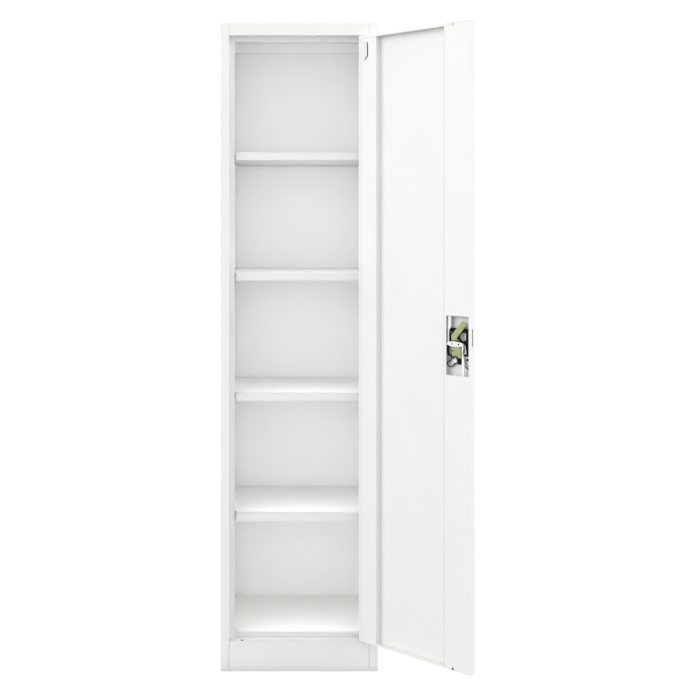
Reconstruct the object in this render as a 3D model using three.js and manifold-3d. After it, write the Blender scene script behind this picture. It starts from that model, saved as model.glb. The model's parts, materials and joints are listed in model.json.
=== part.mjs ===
// A tall one-column steel locker with one full-height door, four adjustable shelves and a three-point lock.
//
// Millimetres, X to the right, Y to the back, Z up. The origin is under the plinth, at the middle of its
// floor return. The door is drawn standing open by OPEN_ANGLE about its hinge pins.

import * as THREE from "three";
import { mergeVertices } from "three/addons/utils/BufferGeometryUtils.js";
import Module from "manifold-3d";

const wasm = await Module();
wasm.setup();

// ---------------------------------------------------------------- driving dimensions

const SHEET = 1.0; // thickness of every folded sheet
const GAP = 0.3; // clearance between pieces that touch

const WIDTH = 450;
const DEPTH = 400;
const HEIGHT = 1850;
const FRONT = -10; // front plane; the plinth's floor return is centred on Y = 0
const BACK = FRONT + DEPTH;
const HALF = WIDTH / 2;
const INSIDE = HALF - SHEET - GAP; // half width of what stands between the side skins

const FLANGE = 25; // front flange of each side
const REAR_FLANGE = 20;
const JAMB_DEPTH = 26; // from the front plane to the door-stop lip
const LIP = 14;
const HEM = 10;
const JAMB_X = HALF - FLANGE;
const LIP_X = JAMB_X - LIP;
const LIP_Y = FRONT + JAMB_DEPTH;
const HEM_Y = LIP_Y + HEM;

const HEADER = 35; // height of the front face above the door
const HEADER_Z = HEIGHT - HEADER;
const LEDGE_Z = 85; // top of the plinth, under the door
const FLOOR_Z = 98.4;
const FLOOR_RETURN = 20;
const FLANGE_DROP = 20; // side and rear flanges of the floor
const TOP_FLANGE_DROP = 15;
const BACK_PANEL_Y = BACK - SHEET - GAP; // rear face of the back panel
const BACK_PANEL_FOOT = 20;
const REAR_RAIL_Z = 1820; // fold of the back panel under the top
const REAR_RAIL_DEPTH = 20;

const SHELF_PITCH = 345.8;
const SHELF_COUNT = 4;
const SHELF_FRONT = LIP_Y + 2;
const SHELF_BACK = 384;
const SHELF_FLANGE = 22;
const SHELF_RETURN = 10;
const SHELF_HALF = 211.5;
const SHELF_NOSE_HALF = 182; // narrow front that passes between the hems
const SHELF_NOTCH_Y = 45;

const UPRIGHT_WIDTH = 20;
const UPRIGHT_X = 214; // slotted face
const UPRIGHT_FEET = 110;
const UPRIGHT_TOP = 1790;
const UPRIGHT_FRONTS = { front: 60, rear: 350 };
const SLOTS_PER_SHELF = 4;
const SLOT_COUNT = 19;
const SLOT_HALF_WIDTH = 2;
const SLOT_HALF_HEIGHT = 6;
const SLOT_BELOW_SHELF = 14;

// Door, measured from its hinge edge (u, along the width) and from its front face (v, into the cabinet)
const DOOR_GAP = 2;
const DOOR_WIDTH = 2 * (JAMB_X - DOOR_GAP);
const DOOR_THICKNESS = 20;
const DOOR_END_GAP = 2.5;
const DOOR_BOTTOM = LEDGE_Z + DOOR_END_GAP;
const DOOR_TOP = HEADER_Z - DOOR_END_GAP;
const DOOR_RETURN = 8;
const OPEN_ANGLE = 136;
const PIVOT_U = 10;
const PIVOT_V = 4.5;
const PIVOT_X = JAMB_X - DOOR_GAP - PIVOT_U;
const PIVOT_Y = FRONT + PIVOT_V;
const PIN_R = 2.5;
const PIN_HOLE_R = PIN_R + GAP;
const TOP_PIN_REACH = 11; // how far the top pin stands in the header

const HINGE_STILE_U = 65; // free edge of the narrow stile
const HINGE_STILE_V = DOOR_THICKNESS - SHEET - GAP;
const LOCK_STILE_U = 306.7; // hinge-side edge of the wide stile
const HINGE_STILE_FOOT = 12; // inner flanges of the stiles, on the door's front sheet
const LOCK_STILE_FOOT = 5;
const STILE_FLANGE = 4;
const WINDOW = { u0: 315, u1: 389, z0: 873, z1: 1031 };
const PIN_SLOT = { u0: 20, u1: 34, z0: 1742, z1: 1791, chamfer: 10 };

// Lock, measured from the handle's axis (p, towards the free edge, and q, up)
const LOCK_U = 343;
const LOCK_Z = 956;
const LOCK_TURN = Math.PI / 3;
const ROCKER_ARM = 23;
const ROD_TRAVEL = ROCKER_ARM * Math.sin(LOCK_TURN);
const ROD_U = 361;
const ROD_WIDTH = 8;
const ROD_HOLE_R = 5;
const HOUSING_BACK = 8.2; // depths into the door
const CAM_V = [10.4, 12.9];
const ROD_V = [13.3, 15.1];
const ROCKER_V = [15.5, 17.3];
const ROD_MID_V = (ROD_V[0] + ROD_V[1]) / 2;
const CYLINDER = { p: 22.5, q: 20, r: 11, flat: 7.6, plug: 5 };
const PLUG_HOLE_R = CYLINDER.plug + GAP;

// ---------------------------------------------------------------- materials

const COLOURS = {
  coat: [0xf1f1ee, 0.42, 0.0],
  zinc: [0xc9cbc8, 0.35, 0.9],
  yellowZinc: [0xaab47d, 0.4, 0.6],
  blackPlastic: [0x141414, 0.45, 0.0],
  blackSteel: [0x1c1c1c, 0.4, 0.8],
  nylon: [0xe6e4da, 0.5, 0.0],
};

function material(name) {
  const [color, roughness, metalness] = COLOURS[name];
  return new THREE.MeshStandardMaterial({ name, color, roughness, metalness });
}

// ---------------------------------------------------------------- solids

// Vertices lie on a grid of a thousandth of a millimetre, so that faces in one plane meet exactly
const GRID = 1000;
const FINEST_EDGE = 0.005; // joins leave no edge shorter than this

function toSolid(geometry) {
  const bare = geometry.clone();
  bare.deleteAttribute("normal");
  bare.deleteAttribute("uv");
  const merged = mergeVertices(bare, 1e-4);
  const vertProperties = merged.getAttribute("position").array.map((value) => Math.round(value * GRID) / GRID);
  const triVerts = Uint32Array.from(merged.getIndex().array);
  return new wasm.Manifold(new wasm.Mesh({ numProp: 3, vertProperties, triVerts }));
}

function toGeometry(solid) {
  const { numProp, vertProperties, triVerts } = solid.asOriginal().simplify(FINEST_EDGE).getMesh();
  const positions = new Float32Array((vertProperties.length / numProp) * 3);
  for (let i = 0; i < positions.length / 3; i += 1) {
    positions.set(vertProperties.subarray(i * numProp, i * numProp + 3), i * 3);
  }
  const geometry = new THREE.BufferGeometry();
  geometry.setAttribute("position", new THREE.BufferAttribute(positions, 3));
  geometry.setIndex(Array.from(triVerts));
  geometry.computeVertexNormals();
  return geometry;
}

function join(...solids) {
  return solids.reduce((whole, part) => whole.add(part));
}

function cut(whole, ...tools) {
  return tools.reduce((rest, tool) => rest.subtract(tool), whole);
}

function block(x0, x1, y0, y1, z0, z1) {
  const box = new THREE.BoxGeometry(Math.abs(x1 - x0), Math.abs(y1 - y0), Math.abs(z1 - z0));
  box.translate((x0 + x1) / 2, (y0 + y1) / 2, (z0 + z1) / 2);
  return toSolid(box);
}

function counterClockwise(outline) {
  const points = outline.map(([x, y]) => new THREE.Vector2(x, y));
  return THREE.ShapeUtils.isClockWise(points) ? points.reverse() : points;
}

function extruded(points, depth, holes = []) {
  const shape = new THREE.Shape(counterClockwise(points));
  shape.holes = holes.map((hole) => new THREE.Path(counterClockwise(hole)));
  return new THREE.ExtrudeGeometry(shape, { depth, bevelEnabled: false, steps: 1 });
}

// Outline in X and Y, standing from z0 to z1
function alongZ(points, z0, z1, holes = []) {
  const geometry = extruded(points, z1 - z0, holes);
  geometry.translate(0, 0, z0);
  return toSolid(geometry);
}

// Outline in Y and Z, from x0 to x1
function alongX(points, x0, x1, holes = []) {
  const geometry = extruded(points, x1 - x0, holes);
  const axes = [new THREE.Vector3(0, 1, 0), new THREE.Vector3(0, 0, 1), new THREE.Vector3(1, 0, 0)];
  geometry.applyMatrix4(new THREE.Matrix4().makeBasis(...axes));
  geometry.translate(x0, 0, 0);
  return toSolid(geometry);
}

// Outline in X and Z, from y0 to y1
function alongY(points, y0, y1, holes = []) {
  const geometry = extruded(points, y1 - y0, holes);
  geometry.rotateX(Math.PI / 2);
  geometry.translate(0, y1, 0);
  return toSolid(geometry);
}

function circle(x, y, r, count = 24) {
  return Array.from({ length: count }, (_, i) => {
    const angle = (2 * Math.PI * i) / count;
    return [x + r * Math.cos(angle), y + r * Math.sin(angle)];
  });
}

// Closed outline of a folded sheet whose outer face follows the points; its metal is on the right hand of the
// way along them, or on the left hand where side is -1
function sheetOutline(points, side = 1) {
  const normals = points.slice(1).map(([x, y], i) => {
    const [dx, dy] = [x - points[i][0], y - points[i][1]];
    const length = Math.hypot(dx, dy);
    return [(side * dy) / length, (-side * dx) / length];
  });
  const inner = points.map(([x, y], i) => {
    const before = normals[Math.max(i - 1, 0)];
    const after = normals[Math.min(i, normals.length - 1)];
    const mitre = SHEET / (1 + before[0] * after[0] + before[1] * after[1]);
    return [x + mitre * (before[0] + after[0]), y + mitre * (before[1] + after[1])];
  });
  return [...points, ...inner.reverse()];
}

// Outline of a flat strip through the points, each with its own half width
function stripOutline(points) {
  const left = [];
  const right = [];
  points.forEach(([x, y, half], i) => {
    const [x0, y0] = points[Math.max(i - 1, 0)];
    const [x1, y1] = points[Math.min(i + 1, points.length - 1)];
    const length = Math.hypot(x1 - x0, y1 - y0);
    const normal = [-(y1 - y0) / length, (x1 - x0) / length];
    left.push([x + half * normal[0], y + half * normal[1]]);
    right.push([x - half * normal[0], y - half * normal[1]]);
  });
  return [...left, ...right.reverse()];
}

// A strip of one half width with round ends, along a curve
function bandOutline(curve, half, endSteps = 6) {
  const outline = stripOutline(curve.map(([x, y]) => [x, y, half]));
  const roundEnd = (centre, from) => {
    const start = Math.atan2(from[1] - centre[1], from[0] - centre[0]);
    return Array.from({ length: endSteps - 1 }, (_, i) => {
      const angle = start - (Math.PI * (i + 1)) / endSteps;
      return [centre[0] + half * Math.cos(angle), centre[1] + half * Math.sin(angle)];
    });
  };
  const count = curve.length;
  return [
    ...outline.slice(0, count),
    ...roundEnd(curve[count - 1], outline[count - 1]),
    ...outline.slice(count),
    ...roundEnd(curve[0], outline[2 * count - 1]),
  ];
}

function roundedRectangle(x0, x1, y0, y1, r, steps = 5) {
  const corners = [[x1 - r, y1 - r], [x0 + r, y1 - r], [x0 + r, y0 + r], [x1 - r, y0 + r]];
  return corners.flatMap(([x, y], quarter) => Array.from({ length: steps + 1 }, (_, i) => {
    const angle = (Math.PI / 2) * (quarter + i / steps);
    return [x + r * Math.cos(angle), y + r * Math.sin(angle)];
  }));
}

// ---------------------------------------------------------------- cabinet body

const cabinet = new THREE.Group();
const door = new THREE.Group();
door.position.set(PIVOT_X, PIVOT_Y, 0);
door.rotation.z = THREE.MathUtils.degToRad(OPEN_ANGLE);

function place(group, name, solid, finish) {
  const mesh = new THREE.Mesh(toGeometry(solid), material(finish));
  mesh.name = name;
  group.add(mesh);
}

const SCREW_Y = 190;
const TOP_SCREW_Z = 1841;
const BASE_SCREW_Z = 87;
const SCREW_HOLE_R = 2.8;

// Pieces of the two sides are drawn for the right side, and side is -1 for the left one
function mirrored(points, side) {
  return points.map(([x, y]) => [side * x, y]);
}

function sideBlock(side, x0, x1, y0, y1, z0, z1) {
  return block(side * x0, side * x1, y0, y1, z0, z1);
}

function screwHoles(side) {
  const x0 = Math.min(side * (INSIDE - 5), side * (HALF + 1));
  return [TOP_SCREW_Z, BASE_SCREW_Z].map((z) => (
    alongX(circle(SCREW_Y, z, SCREW_HOLE_R, 12), x0, x0 + 7)
  ));
}

function sidePanel(side) {
  const profile = sheetOutline([
    [HALF - REAR_FLANGE, BACK],
    [HALF, BACK],
    [HALF, FRONT],
    [JAMB_X, FRONT],
    [JAMB_X, LIP_Y],
    [LIP_X, LIP_Y],
    [LIP_X, HEM_Y],
  ]);
  const panel = alongZ(mirrored(profile, side), 0, HEIGHT);
  const topZ = HEIGHT - SHEET - GAP;
  const seat = sideBlock(side, LIP_X - 6, HALF - SHEET, FRONT + SHEET, BACK - SHEET, topZ, HEIGHT + 1);
  return cut(panel, seat, ...screwHoles(side));
}

// Slot in the left jamb, where the latch cam enters when it is turned to lock
const JAMB_SLOT = { y0: -1.5, y1: 5, z0: LOCK_Z - 8, z1: LOCK_Z + 46 };

function leftSidePanel() {
  const { y0, y1, z0, z1 } = JAMB_SLOT;
  return cut(sidePanel(-1), block(-JAMB_X - 2, -JAMB_X + 1, y0, y1, z0, z1));
}

function pivotHole(z) {
  return alongZ(circle(PIVOT_X, PIVOT_Y, PIN_HOLE_R), z - 2, z + 2);
}

function rodHole(z) {
  return alongZ(circle(JAMB_X - DOOR_GAP - ROD_U, FRONT + ROD_MID_V, ROD_HOLE_R), z - 2, z + 2);
}

const SEAM = 0.6; // open joint between the jambs and the faces above and below the door
const BETWEEN_JAMBS = JAMB_X - SEAM;
const BETWEEN_HEMS = LIP_X - GAP;

function bothSides(x0, x1, y0, y1, z0, z1) {
  return [-1, 1].map((side) => sideBlock(side, x0, x1, y0, y1, z0, z1));
}

function topPanel() {
  const profile = sheetOutline([
    [BACK_PANEL_Y, HEIGHT],
    [FRONT, HEIGHT],
    [FRONT, HEADER_Z],
    [LIP_Y, HEADER_Z],
    [LIP_Y, HEADER_Z - LIP],
    [HEM_Y, HEADER_Z - LIP],
  ], -1);
  const middle = alongX(profile, -BETWEEN_JAMBS, BETWEEN_JAMBS);
  const underTop = HEIGHT - SHEET - 0.5;
  const clearHems = bothSides(BETWEEN_HEMS, BETWEEN_JAMBS + 1, LIP_Y - GAP, HEM_Y + 2, HEADER_Z - LIP - 1, underTop);
  const plate = block(-INSIDE, INSIDE, FRONT + SHEET + GAP, BACK_PANEL_Y, HEIGHT - SHEET, HEIGHT);
  const drop = HEIGHT - TOP_FLANGE_DROP - SHEET;
  const sideFlanges = bothSides(INSIDE - SHEET, INSIDE, LIP_Y + 14, BACK - 30, drop, HEIGHT);
  const rearFoot = REAR_RAIL_Z + SHEET;
  const rearFlange = block(-INSIDE, INSIDE, BACK_PANEL_Y - SHEET, BACK_PANEL_Y, rearFoot, HEIGHT);
  const sheet = join(cut(middle, ...clearHems), plate, ...sideFlanges, rearFlange);
  return cut(sheet, pivotHole(HEADER_Z), rodHole(HEADER_Z), ...screwHoles(-1), ...screwHoles(1));
}

const FLOOR_BACK = BACK_PANEL_Y - SHEET - GAP;

function basePanel() {
  const profile = sheetOutline([
    [FRONT + FLOOR_RETURN, 0],
    [FRONT, 0],
    [FRONT, LEDGE_Z],
    [LIP_Y, LEDGE_Z],
    [LIP_Y, FLOOR_Z],
    [HEM_Y + 4, FLOOR_Z],
  ]);
  const middle = alongX(profile, -BETWEEN_JAMBS, BETWEEN_JAMBS);
  const clearHems = bothSides(BETWEEN_HEMS, BETWEEN_JAMBS + 1, LIP_Y - GAP, HEM_Y + GAP, LEDGE_Z - 5, FLOOR_Z + 1);
  const floor = block(-INSIDE, INSIDE, HEM_Y + GAP, FLOOR_BACK, FLOOR_Z - SHEET, FLOOR_Z);
  const drop = FLOOR_Z - FLANGE_DROP - SHEET;
  const sideFlanges = bothSides(INSIDE - SHEET, INSIDE, HEM_Y + GAP, FLOOR_BACK, drop, FLOOR_Z);
  const rearFlange = block(-INSIDE, INSIDE, FLOOR_BACK - SHEET, FLOOR_BACK, drop, FLOOR_Z);
  const sheet = join(cut(middle, ...clearHems), floor, ...sideFlanges, rearFlange);
  return cut(sheet, pivotHole(LEDGE_Z), rodHole(LEDGE_Z), ...screwHoles(-1), ...screwHoles(1));
}

function rearPlinth() {
  const rear = FLOOR_BACK - SHEET - GAP;
  const top = FLOOR_Z - SHEET - GAP;
  const profile = sheetOutline([[rear - 20, 0], [rear, 0], [rear, top], [rear - 20, top]], -1);
  const half = INSIDE - SHEET - GAP;
  return alongX(profile, -half, half);
}

function backPanel() {
  const railFront = BACK_PANEL_Y - REAR_RAIL_DEPTH;
  const profile = sheetOutline([
    [BACK_PANEL_Y, BACK_PANEL_FOOT],
    [BACK_PANEL_Y, REAR_RAIL_Z],
    [railFront, REAR_RAIL_Z],
    [railFront, HEIGHT - SHEET - GAP],
  ], -1);
  return alongX(profile, -INSIDE, INSIDE);
}

function shelf(level) {
  const top = FLOOR_Z + SHELF_PITCH * level;
  const foot = top - SHELF_FLANGE;
  const lower = foot + SHEET;
  const tray = join(
    block(-SHELF_NOSE_HALF, SHELF_NOSE_HALF, SHELF_FRONT, SHELF_BACK, top - SHEET, top),
    block(-SHELF_HALF, SHELF_HALF, SHELF_NOTCH_Y, SHELF_BACK, top - SHEET, top),
    block(-SHELF_NOSE_HALF, SHELF_NOSE_HALF, SHELF_FRONT, SHELF_FRONT + SHEET, foot, top),
    block(-SHELF_NOSE_HALF, SHELF_NOSE_HALF, SHELF_FRONT, SHELF_FRONT + SHELF_RETURN, foot, lower),
    block(-SHELF_HALF, SHELF_HALF, SHELF_BACK - SHEET, SHELF_BACK, foot, top),
    block(-SHELF_HALF, SHELF_HALF, SHELF_BACK - SHELF_RETURN, SHELF_BACK, foot, lower),
    ...bothSides(SHELF_HALF - SHEET, SHELF_HALF, SHELF_NOTCH_Y, SHELF_BACK, foot, top),
    ...bothSides(SHELF_HALF - SHELF_RETURN, SHELF_HALF, SHELF_NOTCH_Y, SHELF_BACK, foot, lower),
    ...bothSides(SHELF_NOSE_HALF - SHEET, SHELF_NOSE_HALF, SHELF_FRONT, SHELF_NOTCH_Y + SHEET, foot, top),
    ...bothSides(SHELF_NOSE_HALF - SHEET, SHELF_HALF, SHELF_NOTCH_Y, SHELF_NOTCH_Y + SHEET, foot, top),
  );
  return tray;
}

function slotHeight(index) {
  return FLOOR_Z + (SHELF_PITCH / SLOTS_PER_SHELF) * index - SLOT_BELOW_SHELF;
}

function upright(side, front) {
  const rear = front + UPRIGHT_WIDTH;
  const profile = sheetOutline([[INSIDE, front], [UPRIGHT_X, front], [UPRIGHT_X, rear], [INSIDE, rear]]);
  const middle = front + UPRIGHT_WIDTH / 2;
  const slots = Array.from({ length: SLOT_COUNT }, (_, i) => {
    const z = slotHeight(i + 1);
    const [y0, y1] = [middle - SLOT_HALF_WIDTH, middle + SLOT_HALF_WIDTH];
    return sideBlock(side, UPRIGHT_X - 1, UPRIGHT_X + 2, y0, y1, z - SLOT_HALF_HEIGHT, z + SLOT_HALF_HEIGHT);
  });
  return cut(alongZ(mirrored(profile, side), UPRIGHT_FEET, UPRIGHT_TOP), ...slots);
}

// A bent clip: its hook goes through a slot of the upright, and the shelf rests on its ledge
function shelfClip(side, front, level) {
  const y = front + UPRIGHT_WIDTH / 2;
  const foot = FLOOR_Z + SHELF_PITCH * level - SHELF_FLANGE;
  const slotZ = slotHeight(SLOTS_PER_SHELF * level);
  const outer = UPRIGHT_X - GAP;
  const inner = SHELF_HALF + 0.4;
  const half = { plate: 7, hook: SLOT_HALF_WIDTH - GAP };
  const hook = { inner: UPRIGHT_X + SHEET + GAP, outer: UPRIGHT_X + SHEET + 1.6 };
  const tab = { low: slotZ - SLOT_HALF_HEIGHT + 0.5, high: slotZ - 1.5 };
  return join(
    sideBlock(side, inner, outer, y - half.plate, y + half.plate, foot - 2.1, foot + 16),
    sideBlock(side, outer - 13, outer, y - half.plate, y + half.plate, foot - 2.1, foot - GAP),
    sideBlock(side, inner, hook.outer, y - half.hook, y + half.hook, tab.low, tab.high),
    sideBlock(side, hook.inner, hook.outer, y - half.hook, y + half.hook, tab.low - 5, tab.high),
  );
}

function pivotWasher(z0, z1) {
  return alongZ(circle(PIVOT_X, PIVOT_Y, 4.2), z0, z1, [circle(PIVOT_X, PIVOT_Y, PIN_HOLE_R)]);
}

function panelScrew(side, z) {
  const headX = INSIDE - SHEET - GAP;
  const [head, shank] = [[headX - 2.2, headX], [headX - 2.2, HALF - 0.1]].map((range) => (
    side > 0 ? range : [-range[1], -range[0]]
  ));
  return join(
    alongX(circle(SCREW_Y, z, 4.5, 16), ...head),
    alongX(circle(SCREW_Y, z, SCREW_HOLE_R - 0.4, 12), ...shank),
  );
}

place(cabinet, "side_panel_left", leftSidePanel(), "coat");
place(cabinet, "side_panel_right", sidePanel(1), "coat");
place(cabinet, "back_panel", backPanel(), "coat");
place(cabinet, "top_panel", topPanel(), "coat");
place(cabinet, "base_panel", basePanel(), "coat");
place(cabinet, "rear_plinth", rearPlinth(), "coat");
for (let level = 1; level <= SHELF_COUNT; level += 1) {
  place(cabinet, `shelf_${level}`, shelf(level), "coat");
}
for (const [sideName, side] of [["left", -1], ["right", 1]]) {
  for (const [endName, front] of Object.entries(UPRIGHT_FRONTS)) {
    place(cabinet, `upright_${endName}_${sideName}`, upright(side, front), "coat");
    for (let level = 1; level <= SHELF_COUNT; level += 1) {
      place(cabinet, `clip_${level}_${endName}_${sideName}`, shelfClip(side, front, level), "zinc");
    }
  }
  place(cabinet, `top_screw_${sideName}`, panelScrew(side, TOP_SCREW_Z), "zinc");
  place(cabinet, `base_screw_${sideName}`, panelScrew(side, BASE_SCREW_Z), "zinc");
}
place(cabinet, "pivot_washer_top", pivotWasher(DOOR_TOP + GAP, HEADER_Z - GAP), "nylon");
place(cabinet, "pivot_washer_bottom", pivotWasher(LEDGE_Z + GAP, DOOR_BOTTOM - GAP), "nylon");

// ---------------------------------------------------------------- door

// The door group's origin is the hinge axis, and its X and Y are the cabinet's when the door is shut

function doorBlock(u0, u1, v0, v1, z0, z1) {
  return block(PIVOT_U - u1, PIVOT_U - u0, v0 - PIVOT_V, v1 - PIVOT_V, z0, z1);
}

function doorOutline(points) {
  return points.map(([u, v]) => [PIVOT_U - u, v - PIVOT_V]);
}

// A flat piece parallel to the door, drawn in p and q from the handle's axis
function lockPlate(points, [v0, v1], holes = []) {
  const turned = (outline) => outline.map(([p, q]) => [PIVOT_U - LOCK_U - p, LOCK_Z + q]);
  return alongY(turned(points), v0 - PIVOT_V, v1 - PIVOT_V, holes.map(turned));
}

const HOUSING = { p0: -34.5, p1: 44, q0: -54, q1: 41, foot: -30.5, corner: 8, wall: 2.5, floor: 2.5 };
const HOUSING_TAIL = { p0: -1, p1: 18.5, top: -42 };

// The cup has one corner cut off at the head, and narrows to a tail at the foot
function cupOutline(inset) {
  const { p0, p1, q0, q1, foot } = HOUSING;
  const tail = HOUSING_TAIL;
  return [
    [p0 + 9 + inset / 2, q1 - inset],
    [p0 + inset, q1 - 11 - inset / 2],
    [p0 + inset, -27],
    [tail.p0 + inset, tail.top],
    [tail.p0 + inset, q0 + inset],
    [tail.p1 - inset, q0 + inset],
    [tail.p1 - inset, foot + inset],
    [p1 - inset, foot + inset],
    [p1 - inset, q1 - inset],
  ];
}

function doorSkin() {
  const t = DOOR_THICKNESS;
  const [w, z0, z1] = [DOOR_WIDTH, DOOR_BOTTOM, DOOR_TOP];
  const lipEnd = LOCK_STILE_U - GAP;
  const pan = join(
    doorBlock(0, w, 0, SHEET, z0, z1),
    doorBlock(0, SHEET, 0, t, z0, z1),
    doorBlock(w - SHEET, w, 0, t, z0, z1),
    doorBlock(0, w, 0, t, z1 - SHEET, z1),
    doorBlock(0, w, 0, t, z0, z0 + SHEET),
    doorBlock(0, DOOR_RETURN, t - SHEET, t, z0, z1),
    doorBlock(0, lipEnd, t - SHEET, t, z1 - DOOR_RETURN, z1),
    doorBlock(0, lipEnd, t - SHEET, t, z0, z0 + DOOR_RETURN),
  );
  const holes = [z0, z1].flatMap((z) => [
    alongZ(circle(0, 0, PIN_HOLE_R), z - 2, z + 2),
    alongZ(circle(PIVOT_U - ROD_U, ROD_MID_V - PIVOT_V, ROD_HOLE_R, 20), z - 2, z + 2),
  ]);
  const tongueSlot = doorBlock(w - 2, w + 1, CAM_V[0] - 0.6, CAM_V[1] + 0.6, LOCK_Z - 4, LOCK_Z + 43);
  return cut(pan, lockPlate(cupOutline(-0.4), [-1, 2]), tongueSlot, ...holes);
}

function hingeStile() {
  const edge = SHEET + GAP;
  const profile = sheetOutline([
    [HINGE_STILE_U - HINGE_STILE_FOOT, edge],
    [HINGE_STILE_U, edge],
    [HINGE_STILE_U, HINGE_STILE_V],
    [edge, HINGE_STILE_V],
    [edge, HINGE_STILE_V - STILE_FLANGE],
  ], -1);
  const channel = alongZ(doorOutline(profile), DOOR_BOTTOM + edge, DOOR_TOP - edge);
  const { u0, u1, z0, z1, chamfer } = PIN_SLOT;
  const slot = [[u0, z1], [u1, z1], [u1, z0 + chamfer], [u1 - chamfer, z0], [u0, z0]];
  const slotXz = slot.map(([u, z]) => [PIVOT_U - u, z]);
  return cut(channel, alongY(slotXz, HINGE_STILE_V - 3 - PIVOT_V, HINGE_STILE_V + 1 - PIVOT_V));
}

const STILE_HOLE = { u: 337, r: 3.4, inset: 5.5 };

function lockStile() {
  const edge = SHEET + GAP;
  const t = DOOR_THICKNESS;
  const profile = sheetOutline([
    [LOCK_STILE_U + LOCK_STILE_FOOT, edge],
    [LOCK_STILE_U, edge],
    [LOCK_STILE_U, t],
    [DOOR_WIDTH - edge, t],
    [DOOR_WIDTH - edge, t - STILE_FLANGE],
  ]);
  const channel = alongZ(doorOutline(profile), DOOR_BOTTOM + edge, DOOR_TOP - edge);
  const { u0, u1, z0, z1 } = WINDOW;
  const window = roundedRectangle(PIVOT_U - u1, PIVOT_U - u0, z0, z1, 2, 3);
  const [y0, y1] = [t - 3 - PIVOT_V, t + 1 - PIVOT_V];
  const holes = [DOOR_BOTTOM + STILE_HOLE.inset, DOOR_TOP - STILE_HOLE.inset].map((z) => (
    alongY(circle(PIVOT_U - STILE_HOLE.u, z, STILE_HOLE.r, 16), y0, y1)
  ));
  const [notchU0, notchU1] = [LOCK_STILE_U + SHEET, LOCK_STILE_U + LOCK_STILE_FOOT + 1];
  const [notchZ0, notchZ1] = [LOCK_Z + HOUSING.q0 - 2, LOCK_Z + HOUSING.q1 + 2];
  const housingNotch = doorBlock(notchU0, notchU1, edge - 0.5, edge + SHEET + 0.5, notchZ0, notchZ1);
  return cut(channel, alongY(window, y0, y1), housingNotch, ...holes);
}

function handleHousing() {
  const { p0, p1, q0, q1, corner, wall, floor } = HOUSING;
  const rim = 8;
  const sideRim = 6;
  const flange = roundedRectangle(p0 - sideRim, p1 + sideRim, q0 - rim, q1 + rim, corner);
  const island = circle(CYLINDER.p, CYLINDER.q, CYLINDER.r + 2.5, 28);
  const cup = join(
    lockPlate(flange, [-2.5, -GAP]),
    lockPlate(cupOutline(0), [-1, HOUSING_BACK]),
  );
  const hollow = lockPlate(cupOutline(wall), [-5, HOUSING_BACK - floor]);
  const barrel = cylinderOutline(GAP);
  const screws = HOUSING_SCREWS.map(([p, q]) => lockPlate(circle(p, q, 1.8, 12), [HOUSING_BACK - 1.8, 12]));
  return cut(
    join(cut(cup, hollow), lockPlate(island, [-1, HOUSING_BACK])),
    lockPlate(barrel, [-5, 12]),
    lockPlate(circle(0, 0, 6 + GAP), [0, 12]),
    ...screws,
  );
}

// Round barrel with one flat towards the free edge of the door
function cylinderOutline(grow) {
  const { p, q, r, flat } = CYLINDER;
  const limit = Math.acos(flat / r);
  const count = 22;
  return Array.from({ length: count + 1 }, (_, i) => {
    const angle = limit + ((2 * Math.PI - 2 * limit) * i) / count;
    const radius = r + grow;
    const x = Math.min(radius * Math.cos(angle), flat + grow);
    return [p + x, q + radius * Math.sin(angle)];
  });
}

function lockCylinder() {
  const { p, q } = CYLINDER;
  const barrel = lockPlate(cylinderOutline(0), [-2.6, 10]);
  return cut(barrel, lockPlate(circle(p, q, PLUG_HOLE_R, 24), [-4, 7.3]));
}

function keyPlug() {
  const { p, q, plug } = CYLINDER;
  const slot = lockPlate([[p - 0.6, q - 3.2], [p + 0.6, q - 3.2], [p + 0.6, q + 3.2], [p - 0.6, q + 3.2]], [-5, 4]);
  return cut(lockPlate(circle(p, q, plug, 24), [-3, 7]), slot);
}

const HOUSING_SCREWS = [[37, 34], [-21.5, 30.5]];

function housingScrew([p, q]) {
  return join(
    lockPlate(circle(p, q, 3.4, 16), [HOUSING_BACK + GAP, HOUSING_BACK + 1.8]),
    lockPlate(circle(p, q, 1.5, 12), [HOUSING_BACK - 1.5, HOUSING_BACK + 1]),
  );
}

function handleLever() {
  const hub = lockPlate(circle(0, 0, 11, 28), [-9.5, HOUSING_BACK - HOUSING.floor - GAP]);
  const turned = (length) => [length * Math.cos(-Math.PI / 6), length * Math.sin(-Math.PI / 6)];
  const bar = bandOutline([turned(-14), turned(0), turned(24)], 7, 8);
  const grip = bandOutline([turned(-12), turned(0), turned(22)], 5, 8);
  return join(hub, lockPlate(bar, [-8.5, -1]), lockPlate(grip, [-10.5, -1]));
}

function spindle() {
  const flat = 3.5;
  const square = [[-flat, -flat], [flat, -flat], [flat, flat], [-flat, flat]];
  return join(
    lockPlate(circle(0, 0, 6, 24), [HOUSING_BACK - HOUSING.floor, CAM_V[0] - 0.4]),
    lockPlate(square, [CAM_V[0] - 1, ROCKER_V[1] + 0.5]),
  );
}

const SQUARE_HOLE = [[-3.8, -3.8], [3.8, -3.8], [3.8, 3.8], [-3.8, 3.8]];

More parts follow.
